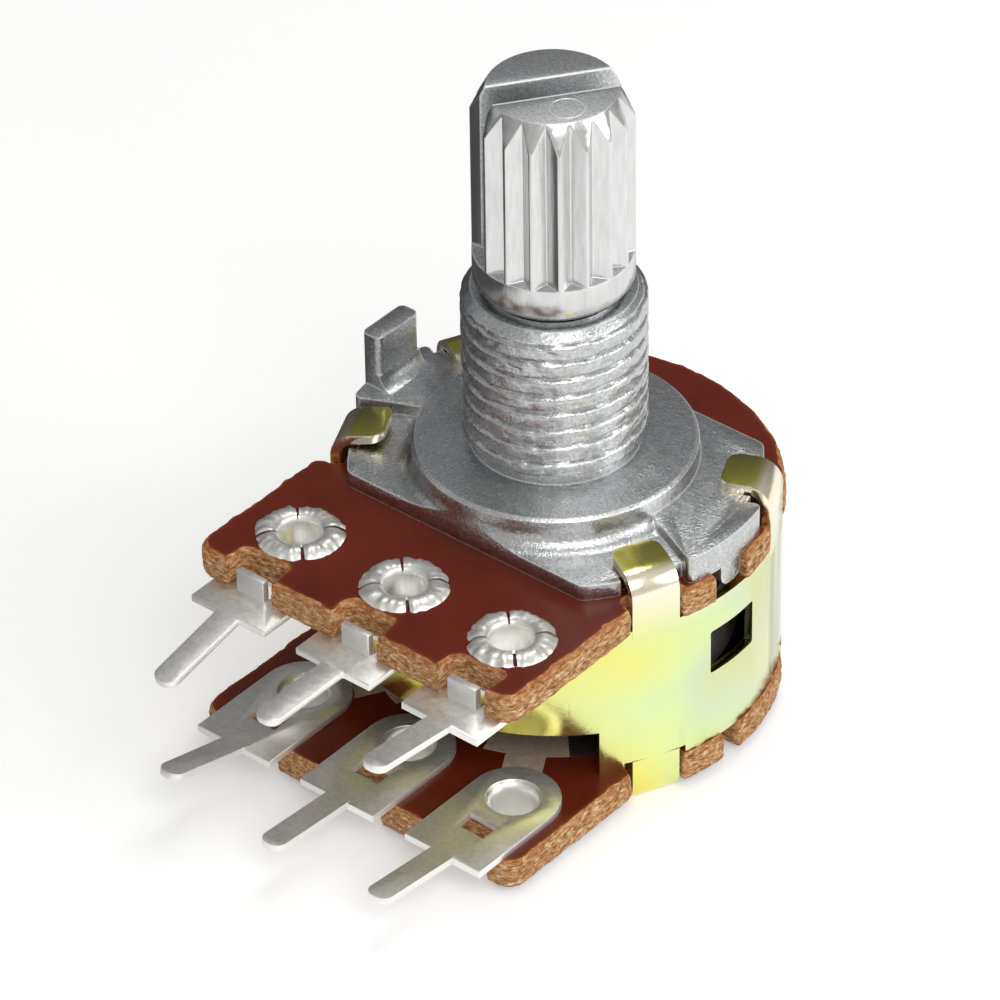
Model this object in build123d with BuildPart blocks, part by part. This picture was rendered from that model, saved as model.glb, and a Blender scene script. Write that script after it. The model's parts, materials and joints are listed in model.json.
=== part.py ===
from build123d import *
from math import cos, degrees, radians, sin
import os

os.makedirs("parts", exist_ok=True)

# Dual-gang rotary potentiometer, 16 mm class, with a split knurled shaft. All sizes are millimetres.
# The origin is on the shaft axis, at the seating face of the boss ring that meets the panel.
# The shaft points along +Z, the terminals point along -Y and stand in a row along X.

# Die-cast plate, boss ring and bushing
bushing_radius = 3.42
bushing_height = 6.75
bushing_chamfer = 0.35
bore_radius = 2.5
ring_radius = 5.3
ring_height = 0.75
ring_edge_break = 0.12
plate_thickness = 1.15
plate_front = 5.3
plate_rear = 5.1
wing_rim_inset = 0.1
wing_corner = 0.25
plate_rim_inset = 0.7
plate_corner = 0.5
wing_wedge_offset = 1.43
ledge_depth = 0.5
ring_fillet = 0.7
lug_rim_inset = 0.02
lug_thickness = 0.86
lug_width = 2.3
lug_height = 1.5
lug_fillet = 0.6
peg_width = 1.1
peg_length = 0.75
peg_drop = 0.95
peg_corner = 0.45
clip_recess_clearance = 0.4

# Wafers
wafer_thickness = 1.2
wafer_overhang = 0.15
wafer_left_margin = 2.7
wafer_right_margin = 2.3
wafer_front_margin = 2.9
wafer_corner = 0.8
front_hole_clearance = 0.4
lug_notch_width = 2.0
lug_notch_depth = 1.1
lug_notch_corner = 0.45
peg_clearance = 0.25
peg_notch_shift = -0.15
rear_notch_width = 0.7
peg_inset = 0.05

# Sheet frame
frame_radius = 8.35
frame_sheet = 0.35
frame_height = 6.35
front_cut_half_angle = 42
front_cut_depth = 0.8
foot_cut_half_angle = 50
foot_cut_height = 1.95
tab_angle = 25
lower_rear_tab_angle = 39
tab_width = 1.9
tab_reach = 2.0
rear_tab_reach = 1.65
tab_bend = 0.65
lower_tab_bend = 0.3
tab_corner = 0.5
front_tab_rises = (0.15, 0.35)
tab_clearance = 0.1
relief_width = 0.3
relief_height = 0.35
window_width = 2.45
window_height = 1.9
window_centre_drop = 2.3
window_corner = 0.1
stop_pocket_margin = 4

# Terminals
terminal_pitch = 5.0
terminal_sheet = 0.3
eyelet_to_frame = 0.25
terminal_half_width = 1.75
shoulder_overhang = 1.15
tongue_width = 1.3
tongue_length = 1.15
tongue_rise = 0.9
tongue_inset = 0.1
pin_width = 1.0
pin_length = 3.8
pin_root_overlap = 0.25
pin_tip_radius = 0.42
front_pin_tilts = (-12, 0, 6)
rear_pin_tilts = (14, 4, 6)
eyelet_hole_radius = 0.81
funnel_radius = 1.05
eyelet_wall = 0.17
eyelet_clearance = 0.05
petal_radius = 1.66
petal_rise = 0.3
petal_slit = 0.14

# Printed tracks
print_thickness = 0.04
track_rim_gap = 0.85
track_width = 1.7
print_gap = 0.7
collector_width = 1.0
track_gap_half_angle = 43
pad_gap_half_angle = 17
lead_width = 1.5

# Shaft
knurl_teeth = 18
knurl_radius = 2.96
groove_radius = 2.45
tooth_flat = 0.12
shaft_top = 15.25
knurl_bottom = 8.4
collar_bottom = 7.0
collar_chamfer_height = 0.3
collar_chamfer_width = 0.2
top_cone_height = 1.05
top_cone_width = 0.55
slot_width = 1.1
slot_floor = 8.4
slot_angle = 54
running_clearance = 0.05
clip_thickness = 0.45
clip_outer_radius = 3.6
clip_groove_radius = 2.0
clip_mouth = 3.0
clip_play = 0.1
clip_side_clearance = 0.05
drive_radius = 2.2
drive_flat = 1.55
drive_clearance = 0.03
tail_radius = 1.2
tail_length = 2.2

# Rotors and wipers
rotor_rim_clearance = 1.25
rotor_thickness = 1.2
rotor_hub_radius = 3.4
rotor_gap = 1.5
travel_angle = 300
stop_lug_clearance = 0.5
stop_lug_half_angle = 11
stop_pocket_inset = 1.0
stop_tongue_height = 0.9
stop_clearance_angle = 0.8
rest_angle_from_top = 144
wiper_sheet = 0.18
wiper_base_outer_radius = 4.4
wiper_base_inner_radius = 2.75
finger_width = 0.55
finger_length = 3.0
finger_spread = 0.6
contact_gap = 0.05

# Levels along the shaft axis, worked out from the sizes above
plate_top = -ring_height
ledge_top = plate_top - ledge_depth
plate_bottom = plate_top - plate_thickness
front_wafer_bottom = plate_bottom - wafer_thickness
rear_wafer_top = front_wafer_bottom - frame_height
rear_wafer_bottom = rear_wafer_top - wafer_thickness
middle_level = (front_wafer_bottom + rear_wafer_top) / 2
frame_inner_radius = frame_radius - frame_sheet
plate_radius = frame_radius - plate_rim_inset
tab_slot_floor = frame_inner_radius - tab_bend - running_clearance
wing_radius = frame_radius - wing_rim_inset
lug_distance = frame_radius - lug_rim_inset - lug_thickness / 2
wafer_radius = frame_radius + wafer_overhang
eyelet_reach = frame_radius + eyelet_to_frame
wafer_reach = eyelet_reach + wafer_front_margin
wafer_left = -terminal_pitch - wafer_left_margin
wafer_right = terminal_pitch + wafer_right_margin
shoulder_reach = wafer_reach + shoulder_overhang
tongue_reach = wafer_reach - tongue_inset
front_hole_radius = bore_radius + front_hole_clearance
tab_tip_radius = frame_radius - tab_reach
rear_tab_tip_radius = frame_radius - rear_tab_reach
rotor_radius = frame_inner_radius - rotor_rim_clearance
stop_lug_radius = frame_inner_radius - stop_lug_clearance
track_outer_radius = frame_inner_radius - track_rim_gap
track_inner_radius = track_outer_radius - track_width
collector_outer_radius = track_inner_radius - print_gap
collector_inner_radius = collector_outer_radius - collector_width
tube_radius = eyelet_hole_radius + eyelet_wall
wafer_eyelet_radius = tube_radius + eyelet_clearance
peg_outer_radius = wing_radius - peg_inset
peg_inner_radius = peg_outer_radius - peg_length
front_tab_angles = (-tab_angle, 180 + tab_angle)
rear_tab_angles = (tab_angle, 180 - tab_angle)
upper_tab_angles = front_tab_angles + rear_tab_angles
lower_tab_angles = front_tab_angles + (lower_rear_tab_angle, 180 - lower_rear_tab_angle)
terminal_places = (-terminal_pitch, 0, terminal_pitch)
stop_half_angle = (360 - travel_angle) / 2 - stop_lug_half_angle - stop_clearance_angle
rotor_angle = 90 + rest_angle_from_top


def polar(radius, angle):
    """The point at this radius and angle in a sketch plane."""
    return (radius * cos(radians(angle)), radius * sin(radians(angle)))


def radial_plane(angle):
    """A plane through the shaft axis: its x runs outward at this angle and its y is +Z."""
    outward = (cos(radians(angle)), sin(radians(angle)), 0)
    return Plane(origin=(0, 0, 0), x_dir=outward, z_dir=(sin(radians(angle)), -cos(radians(angle)), 0))


def turned_plane(level, angle):
    """A level plane at this height whose x runs outward at this angle."""
    return Plane(origin=(0, 0, level), x_dir=(cos(radians(angle)), sin(radians(angle)), 0), z_dir=(0, 0, 1))


def wedge(half_angle, centre_angle=-90, reach=30):
    """Adds a wide triangle from the centre of the sketch, to cut or keep a sector."""
    left = polar(reach, centre_angle - half_angle)
    right = polar(reach, centre_angle + half_angle)
    Polygon((0, 0), left, right, align=None, mode=Mode.ADD)


def sector(inner_radius, outer_radius, half_angle, centre_angle=-90):
    """An annular sector as a sketch of its own."""
    with BuildSketch() as piece:
        wedge(half_angle, centre_angle)
        Circle(outer_radius, mode=Mode.INTERSECT)
        Circle(inner_radius, mode=Mode.SUBTRACT)
    return piece.sketch


def save(builder, name):
    """Labels a finished piece and writes it."""
    builder.part.label = name
    export_step(builder.part, "parts/" + name + ".step")


# Bushing plate: one zinc casting of plate, boss ring, bushing, locating lug and two pegs
wing_apex = wing_wedge_offset / sin(radians(tab_angle))
wing_edge = (wing_apex + 2 * wing_radius * cos(radians(tab_angle)), 2 * wing_radius * sin(radians(tab_angle)))
with BuildSketch() as right_wing:
    Polygon((wing_apex, 0), (wing_edge[0], -wing_edge[1]), (wing_edge[0], wing_edge[1]), align=None)
    Circle(wing_radius, mode=Mode.INTERSECT)
    fillet(right_wing.vertices().group_by(Axis.X)[-1], wing_corner)

plate_depth = plate_front + plate_rear
plate_middle = (plate_rear - plate_front) / 2
# Hollow fillet at the foot of the ring, trimmed at the straight front and rear of the plate
with BuildPart() as skirt:
    with BuildSketch(Plane.XZ):
        with BuildLine():
            ring_hollow = ThreePointArc(
                (ring_radius + ring_fillet, ledge_top),
                (ring_radius + ring_fillet * (1 - sin(radians(45))), ledge_top + ring_fillet * (1 - sin(radians(45)))),
                (ring_radius, ledge_top + ring_fillet),
            )
            Polyline(
                ring_hollow @ 1,
                (bushing_radius, ledge_top + ring_fillet),
                (bushing_radius, ledge_top),
                ring_hollow @ 0,
            )
        make_face()
    revolve(axis=Axis.Z)
    with BuildSketch(Plane.XY.offset(ledge_top)):
        with Locations((0, plate_middle)):
            Rectangle(4 * ring_radius, plate_depth)
    extrude(amount=ring_fillet, mode=Mode.INTERSECT)

with BuildPart() as bushing_plate:
    with BuildSketch(Plane.XY.offset(plate_bottom)) as plate_outline:
        Circle(plate_radius)
        with Locations((0, plate_middle)):
            Rectangle(2 * plate_radius, plate_depth, mode=Mode.INTERSECT)
        fillet(plate_outline.vertices(), plate_corner)
        add(right_wing.sketch)
        add(mirror(right_wing.sketch, about=Plane.YZ, mode=Mode.PRIVATE))
    extrude(amount=ledge_top - plate_bottom)
    # The raised middle leaves a lower ledge for the two front tabs
    with BuildSketch(Plane.XY.offset(ledge_top)) as raised_outline:
        Circle(plate_radius)
        with Locations((0, plate_rear / 2)):
            Rectangle(2 * plate_radius, plate_rear, mode=Mode.INTERSECT)
        fillet(raised_outline.vertices().group_by(Axis.Y)[-1], plate_corner)
        add(right_wing.sketch)
        add(mirror(right_wing.sketch, about=Plane.YZ, mode=Mode.PRIVATE))
    extrude(amount=ledge_depth)
    with BuildSketch(Plane.XY.offset(ledge_top)):
        Circle(ring_radius)
    extrude(amount=ledge_depth + ring_height)
    chamfer(edges().filter_by(GeomType.CIRCLE).group_by(Axis.Z)[-1], ring_edge_break)
    add(skirt.part)
    with BuildSketch(Plane.XY):
        Circle(bushing_radius)
    extrude(amount=bushing_height)
    chamfer(edges().filter_by(GeomType.CIRCLE).group_by(Axis.Z)[-1], bushing_chamfer)
    # Locating lug at the left edge of the plate
    lug_inner_x = lug_thickness / 2 - lug_distance
    lug_height_above_ledge = lug_height - ledge_top
    with BuildSketch(Plane.XY.offset(ledge_top)):
        with Locations((-lug_distance, 0)):
            RectangleRounded(lug_thickness, lug_width, 0.3 * lug_thickness)
    extrude(amount=lug_height_above_ledge)
    # Hollow fillet between the inner face of the lug and the plate
    with BuildSketch(Plane.XZ.offset(-lug_width / 2)):
        with BuildLine():
            hollow = ThreePointArc(
                (lug_inner_x + lug_fillet, plate_top),
                (lug_inner_x + lug_fillet * (1 - sin(radians(45))), plate_top + lug_fillet * (1 - sin(radians(45)))),
                (lug_inner_x, plate_top + lug_fillet),
            )
            Polyline(
                hollow @ 1,
                (-lug_distance, plate_top + lug_fillet),
                (-lug_distance, ledge_top),
                (lug_inner_x + lug_fillet, ledge_top),
                hollow @ 0,
            )
        make_face()
    extrude(amount=lug_width)
    # Slots in the rim for the bends of the frame tabs
    for angle in upper_tab_angles:
        with BuildSketch(turned_plane(plate_bottom, angle)):
            with Locations((tab_slot_floor + plate_radius, 0)):
                Rectangle(2 * plate_radius, tab_width + 2 * tab_clearance)
        extrude(amount=plate_thickness, mode=Mode.SUBTRACT)
    # Pegs that drop into the notches of the front wafer, with rounded ends
    for side in (-1, 1):
        peg_middle = side * (peg_outer_radius + peg_inner_radius) / 2
        with BuildSketch(Plane.YZ.offset(peg_middle - peg_length / 2)):
            with Locations((0, plate_bottom - peg_drop / 2 + ledge_depth / 2)):
                RectangleRounded(peg_width, peg_drop + ledge_depth, peg_corner)
        extrude(amount=peg_length)
    # Bore for the shaft, with a counterbore behind for the retaining clip
    with Locations((0, 0, bushing_height)):
        Hole(bore_radius)
    clip_room = clip_thickness + clip_play + running_clearance
    with BuildSketch(Plane.XY.offset(plate_bottom)):
        Circle(clip_outer_radius + clip_recess_clearance)
    extrude(amount=clip_room + clip_side_clearance, mode=Mode.SUBTRACT)
save(bushing_plate, "bushing_plate")


def make_wafer(name, bottom, hole_radius, tab_angles, notch_floor, side_notch_width):
    """A punched laminate wafer: round behind, straight sided towards the terminals."""
    with BuildPart() as wafer:
        with BuildSketch(Plane.XY.offset(bottom)) as outline:
            Circle(wafer_radius)
            with Locations(((wafer_left + wafer_right) / 2, -wafer_reach / 2)):
                Rectangle(wafer_right - wafer_left, wafer_reach)
            with Locations(*[(x, -wafer_reach) for x in terminal_places]):
                Rectangle(lug_notch_width, 2 * lug_notch_depth, mode=Mode.SUBTRACT)
            front_points = outline.vertices().group_by(Axis.Y)[0].sort_by(Axis.X)
            fillet([front_points[0], front_points[-1]], wafer_corner)
            fillet(outline.vertices().group_by(Axis.Y)[2].sort_by(Axis.X)[::2], lug_notch_corner)
            # Rim notches for the frame tabs and for the pegs of the plate
            for angle in tab_angles:
                with Locations(Location((*polar(notch_floor + wafer_radius, angle), 0), (0, 0, angle))):
                    Rectangle(2 * wafer_radius, tab_width + 2 * tab_clearance, mode=Mode.SUBTRACT)
            for side in (-1, 1):
                with Locations((side * (peg_inner_radius - tab_clearance + wafer_radius), peg_notch_shift)):
                    Rectangle(2 * wafer_radius, side_notch_width, mode=Mode.SUBTRACT)
            with Locations(*[(x, -eyelet_reach) for x in terminal_places]):
                Circle(wafer_eyelet_radius, mode=Mode.SUBTRACT)
            Circle(hole_radius, mode=Mode.SUBTRACT)
        extrude(amount=wafer_thickness)
    save(wafer, name)


peg_notch_width = peg_width + 2 * peg_clearance
rear_hole_radius = tail_radius + running_clearance
front_notch_floor = frame_inner_radius - tab_clearance
rear_notch_floor = front_notch_floor - lower_tab_bend
make_wafer("front_wafer", front_wafer_bottom, front_hole_radius, upper_tab_angles, front_notch_floor, peg_notch_width)
make_wafer("rear_wafer", rear_wafer_bottom, rear_hole_radius, lower_tab_angles, rear_notch_floor, rear_notch_width)


# Frame: one sheet band round both wafers, with tabs folded over the plate and under the rear wafer
def folded_tab(angle, root_level, fold_level, tip_radius, bend, tip_rise=0):
    """A tab that leaves the band at root_level and folds inward, its outer face at fold_level.

    The fold isn't quite closed: the tip stands tip_rise away from level."""
    towards = 1 if fold_level > root_level else -1
    with BuildPart() as tab:
        with BuildSketch(radial_plane(angle)):
            with BuildLine():
                outer = FilletPolyline(
                    (frame_radius, root_level),
                    (frame_radius, fold_level),
                    (tip_radius, fold_level + tip_rise),
                    radius=bend + frame_sheet,
                )
                inner = FilletPolyline(
                    (frame_inner_radius, root_level),
                    (frame_inner_radius, fold_level - towards * frame_sheet),
                    (tip_radius, fold_level + tip_rise - towards * frame_sheet),
                    radius=bend,
                )
                Line(outer @ 0, inner @ 0)
                Line(outer @ 1, inner @ 1)
            make_face()
        extrude(amount=tab_width / 2, both=True)
        with BuildSketch(turned_plane(min(root_level, fold_level) - frame_sheet, angle)):
            with Locations((tip_radius + frame_radius / 2, 0)):
                RectangleRounded(frame_radius, tab_width, tab_corner)
        extrude(amount=abs(fold_level - root_level) + tip_rise + 2 * frame_sheet, mode=Mode.INTERSECT)
    return tab.part


front_fold = ledge_top + frame_sheet
rear_fold = plate_top + frame_sheet
lower_fold = rear_wafer_bottom - frame_sheet
with BuildPart() as frame:
    with BuildSketch(Plane.XY.offset(rear_wafer_top)):
        Circle(frame_radius)
        Circle(frame_inner_radius, mode=Mode.SUBTRACT)
    extrude(amount=frame_height)
    # The band is cut away in front, above for the front terminals and below for the rear ones
    with BuildSketch(Plane.XY.offset(front_wafer_bottom)):
        wedge(front_cut_half_angle)
    extrude(amount=-front_cut_depth, mode=Mode.SUBTRACT)
    with BuildSketch(Plane.XY.offset(rear_wafer_top)):
        wedge(foot_cut_half_angle)
    extrude(amount=foot_cut_height, mode=Mode.SUBTRACT)
    # Inspection windows on both sides
    with BuildSketch(Plane.YZ):
        with Locations((0, front_wafer_bottom - window_centre_drop)):
            RectangleRounded(window_width, window_height, window_corner)
    extrude(amount=frame_radius + 1, both=True, mode=Mode.SUBTRACT)
    # Relief cuts beside the lower tabs
    for angle in lower_tab_angles:
        for side in (-1, 1):
            with BuildSketch(turned_plane(rear_wafer_top, angle)):
                with Locations((frame_radius, side * (tab_width + relief_width) / 2)):
                    Rectangle(4 * frame_sheet, relief_width)
            extrude(amount=relief_height, mode=Mode.SUBTRACT)
    # The rotation stop is pressed inward in the middle of the front
    stop_top = middle_level + rotor_thickness / 2 + (stop_tongue_height + rotor_thickness) / 2
    with BuildSketch(Plane.XY.offset(stop_top)):
        add(sector(frame_inner_radius - stop_pocket_inset, frame_radius - frame_sheet / 2, stop_half_angle))
    extrude(amount=-stop_tongue_height)
    pocket_half_angle = stop_half_angle - stop_pocket_margin
    with BuildSketch(Plane.XY.offset(stop_top)):
        add(sector(frame_radius - stop_pocket_inset, frame_radius + 1, pocket_half_angle))
    extrude(amount=-stop_tongue_height, mode=Mode.SUBTRACT)
    # Upper tabs fold over the plate and lower tabs fold under the rear wafer
    upper_root = front_wafer_bottom - frame_sheet
    for angle, rise in zip(front_tab_angles, front_tab_rises):
        add(folded_tab(angle, upper_root, front_fold, tab_tip_radius, tab_bend, rise))
    for angle in rear_tab_angles:
        add(folded_tab(angle, upper_root, rear_fold, tab_tip_radius, tab_bend))
    for angle in lower_tab_angles:
        add(folded_tab(angle, rear_wafer_top + frame_sheet, lower_fold, rear_tab_tip_radius, lower_tab_bend))
save(frame, "frame")


def make_terminal(name, place, face_level, outward, tilt):
    """A stamped terminal under a wafer: blade, pin, bent tongue and drawn eyelet with petals.

    In its plane, y is the reach towards the pin tip and z points from the inner face of the
    wafer to the outer face, so the same steps make the front and the rear terminals."""
    along = (-outward, 0, 0)
    flat = Plane(origin=(place, 0, face_level), x_dir=along, z_dir=(0, 0, outward))
    tilted = (0, outward * sin(radians(tilt)), outward * cos(radians(tilt)))
    root_reach = shoulder_reach - pin_root_overlap
    pin_plane = Plane(origin=(place, -root_reach, face_level), x_dir=along, z_dir=tilted)
    eyelet_plane = Plane(
        origin=(place, -eyelet_reach, face_level), x_dir=(1, 0, 0), z_dir=(0, -outward, 0)
    )
    blade_length = shoulder_reach - eyelet_reach
    with BuildPart() as terminal:
        with BuildSketch(flat):
            with Locations((0, eyelet_reach)):
                Circle(terminal_half_width)
            with Locations((0, eyelet_reach + blade_length / 2)):
                Rectangle(2 * terminal_half_width, blade_length)
            with Locations((0, tongue_reach - tongue_length / 2)):
                Rectangle(tongue_width, tongue_length, mode=Mode.SUBTRACT)
        extrude(amount=-terminal_sheet)
        with BuildSketch(pin_plane) as pin:
            straight = pin_length + pin_root_overlap
            with Locations((0, straight / 2)):
                Rectangle(pin_width, straight)
            fillet(pin.vertices().group_by(Axis.Y)[-1], pin_tip_radius)
        extrude(amount=-terminal_sheet)
        # Tongue bent out of its window into the notch of the wafer
        with BuildSketch(flat.offset(-terminal_sheet)):
            with Locations((0, tongue_reach - terminal_sheet / 2)):
                Rectangle(tongue_width, terminal_sheet)
        extrude(amount=tongue_rise + terminal_sheet)
        # Eyelet drawn through the wafer and rolled over its outer face
        with BuildSketch(eyelet_plane):
            Polygon(
                (0, -terminal_sheet),
                (tube_radius + eyelet_wall, -terminal_sheet),
                (tube_radius + eyelet_wall, 0),
                (tube_radius, 0),
                (tube_radius, wafer_thickness),
                (petal_radius, wafer_thickness),
                (petal_radius, wafer_thickness + 0.3 * petal_rise),
                ((petal_radius + tube_radius) / 2, wafer_thickness + petal_rise),
                (tube_radius, wafer_thickness + 0.9 * petal_rise),
                (0, wafer_thickness + 0.5 * petal_rise),
                align=None,
            )
        revolve(axis=Axis((place, -eyelet_reach, 0), (0, 0, 1)))
        with BuildSketch(eyelet_plane):
            Polygon(
                (0, -terminal_sheet),
                (funnel_radius, -terminal_sheet),
                (eyelet_hole_radius, terminal_sheet / 2),
                (eyelet_hole_radius, wafer_thickness),
                (eyelet_hole_radius + 0.1, wafer_thickness + petal_rise),
                (0, wafer_thickness + petal_rise),
                align=None,
            )
        revolve(axis=Axis((place, -eyelet_reach, 0), (0, 0, 1)), mode=Mode.SUBTRACT)
        with BuildSketch(flat.offset(wafer_thickness + eyelet_clearance)):
            with Locations((0, eyelet_reach)):
                Rectangle(petal_slit, 3 * petal_radius, rotation=45)
                Rectangle(3 * petal_radius, petal_slit, rotation=45)
        extrude(amount=petal_rise, mode=Mode.SUBTRACT)
    save(terminal, name)


for number, place in enumerate(terminal_places):
    make_terminal(f"front_terminal_{number + 1}", place, front_wafer_bottom, 1, front_pin_tilts[number])
    make_terminal(f"rear_terminal_{number + 1}", place, rear_wafer_top, -1, rear_pin_tilts[number])


# Prints on the inner face of each wafer: resistive horseshoe, collector ring and end contacts
def make_prints(gang, level, growth):
    """The three prints of one gang, on the face at this level, growing away from the wafer."""
    with BuildSketch() as horseshoe:
        Circle(track_outer_radius)
        Circle(track_inner_radius, mode=Mode.SUBTRACT)
        add(sector(track_inner_radius, track_outer_radius, track_gap_half_angle), mode=Mode.SUBTRACT)
    with BuildPart() as track:
        with BuildSketch(Plane.XY.offset(level)):
            add(horseshoe.sketch)
        extrude(amount=growth)
    save(track, gang + "_resistive_track")

    terminal_edge = terminal_half_width + eyelet_clearance
    with BuildPart() as collector:
        with BuildSketch(Plane.XY.offset(level)):
            Circle(collector_outer_radius)
            with Locations((0, -eyelet_reach / 2)):
                Rectangle(lead_width, eyelet_reach)
            Circle(collector_inner_radius, mode=Mode.SUBTRACT)
            with Locations((0, -eyelet_reach)):
                Circle(terminal_edge, mode=Mode.SUBTRACT)
        extrude(amount=growth)
    save(collector, gang + "_collector_ring")

    # Each end contact is a pad at the end of the track and a lead to the eyelet
    track_middle = (track_inner_radius + track_outer_radius) / 2
    pad_half_angle = (track_gap_half_angle - pad_gap_half_angle) / 2
    pad_angle = pad_gap_half_angle + pad_half_angle
    with BuildPart() as contacts:
        with BuildSketch(Plane.XY.offset(level)):
            for side in (-1, 1):
                start = Vector(*polar(track_middle, -90 + side * pad_angle))
                stop = Vector(side * terminal_pitch, -eyelet_reach)
                heading = (stop - start).get_signed_angle(Vector(1, 0, 0), Vector(0, 0, -1))
                with Locations(Location(tuple((start + stop) / 2), (0, 0, heading))):
                    Rectangle((stop - start).length, lead_width)
                add(sector(track_inner_radius, track_outer_radius, pad_half_angle, -90 + side * pad_angle))
            add(horseshoe.sketch, mode=Mode.SUBTRACT)
            with Locations(*[(side * terminal_pitch, -eyelet_reach) for side in (-1, 1)]):
                Circle(terminal_edge, mode=Mode.SUBTRACT)
        extrude(amount=growth)
    save(contacts, gang + "_end_contacts")


make_prints("front", front_wafer_bottom, -print_thickness)
make_prints("rear", rear_wafer_top, print_thickness)


# Shaft: split knurled end, collar, journal, clip groove, flatted drive and tail
journal_radius = bore_radius - running_clearance
clip_bottom = plate_bottom + running_clearance + clip_side_clearance
groove_bottom = clip_bottom - clip_side_clearance
groove_height = clip_thickness + 2 * clip_side_clearance
drive_top = front_wafer_bottom
rotor_front_face = front_wafer_bottom - rotor_gap
rotor_rear_face = rear_wafer_top + rotor_gap
drive_bottom = rotor_rear_face - drive_clearance
tooth_half_angle = degrees(tooth_flat / 2 / knurl_radius)
tooth_points = []
for tooth in range(knurl_teeth):
    crest = slot_angle + tooth * 360 / knurl_teeth
    tooth_points.append(polar(knurl_radius, crest - tooth_half_angle))
    tooth_points.append(polar(knurl_radius, crest + tooth_half_angle))
    tooth_points.append(polar(groove_radius, crest + 180 / knurl_teeth))

with BuildPart() as shaft:
    with BuildSketch(Plane.XY.offset(knurl_bottom)):
        Polygon(*tooth_points, align=None)
    extrude(amount=shaft_top - knurl_bottom)
    # The end of the knurl is turned to a cone
    with BuildSketch(Plane.XZ):
        Polygon(
            (0, 0),
            (2 * knurl_radius, 0),
            (2 * knurl_radius, shaft_top - top_cone_height),
            (knurl_radius, shaft_top - top_cone_height),
            (knurl_radius - top_cone_width, shaft_top),
            (0, shaft_top),
            align=None,
        )
    revolve(axis=Axis.Z, mode=Mode.INTERSECT)
    with BuildSketch(Plane.XZ):
        Polygon(
            (0, drive_top),
            (journal_radius, drive_top),
            (journal_radius, groove_bottom),
            (clip_groove_radius, groove_bottom),
            (clip_groove_radius, groove_bottom + groove_height),
            (journal_radius, groove_bottom + groove_height),
            (journal_radius, collar_bottom),
            (knurl_radius - collar_chamfer_width, collar_bottom),
            (knurl_radius, collar_bottom + collar_chamfer_height),
            (knurl_radius, knurl_bottom),
            (0, knurl_bottom),
            align=None,
        )
    revolve(axis=Axis.Z)
    with BuildSketch(turned_plane(drive_bottom, rotor_angle)):
        Circle(drive_radius)
        Rectangle(2 * drive_radius, 2 * drive_flat, mode=Mode.INTERSECT)
    extrude(amount=drive_top - drive_bottom)
    with BuildSketch(Plane.XY.offset(drive_bottom)):
        Circle(tail_radius)
    extrude(amount=-tail_length)
    # The saw cut that splits the knurled end
    with BuildSketch(turned_plane(slot_floor, slot_angle)):
        Rectangle(3 * knurl_radius, slot_width)
    extrude(amount=shaft_top, mode=Mode.SUBTRACT)
save(shaft, "shaft")

with BuildPart() as retaining_clip:
    with BuildSketch(turned_plane(clip_bottom, rotor_angle)):
        Circle(clip_outer_radius)
        Circle(clip_groove_radius + drive_clearance, mode=Mode.SUBTRACT)
        with Locations((clip_outer_radius, 0)):
            Rectangle(2 * clip_outer_radius, clip_mouth, mode=Mode.SUBTRACT)
    extrude(amount=clip_thickness)
save(retaining_clip, "retaining_clip")


def make_rotor(name, face_level, inward, with_stop):
    """A moulded rotor disc: its face carries the wiper and its hub meets the other rotor."""
    with BuildPart() as rotor:
        with BuildSketch(turned_plane(face_level, rotor_angle)):
            Circle(rotor_radius)
            if with_stop:
                add(sector(rotor_hub_radius, stop_lug_radius, stop_lug_half_angle, centre_angle=0))
        extrude(amount=inward * rotor_thickness)
        with BuildSketch(Plane.XY.offset(face_level)):
            Circle(rotor_hub_radius)
        extrude(amount=middle_level - face_level)
        with BuildSketch(turned_plane(face_level, rotor_angle)):
            Circle(drive_radius + drive_clearance)
            flat_gap = 2 * (drive_flat + drive_clearance)
            Rectangle(3 * drive_radius, flat_gap, mode=Mode.INTERSECT)
        extrude(amount=middle_level - face_level, mode=Mode.SUBTRACT)
    save(rotor, name)


make_rotor("front_rotor", rotor_front_face, -1, True)
make_rotor("rear_rotor", rotor_rear_face, 1, False)


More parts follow.
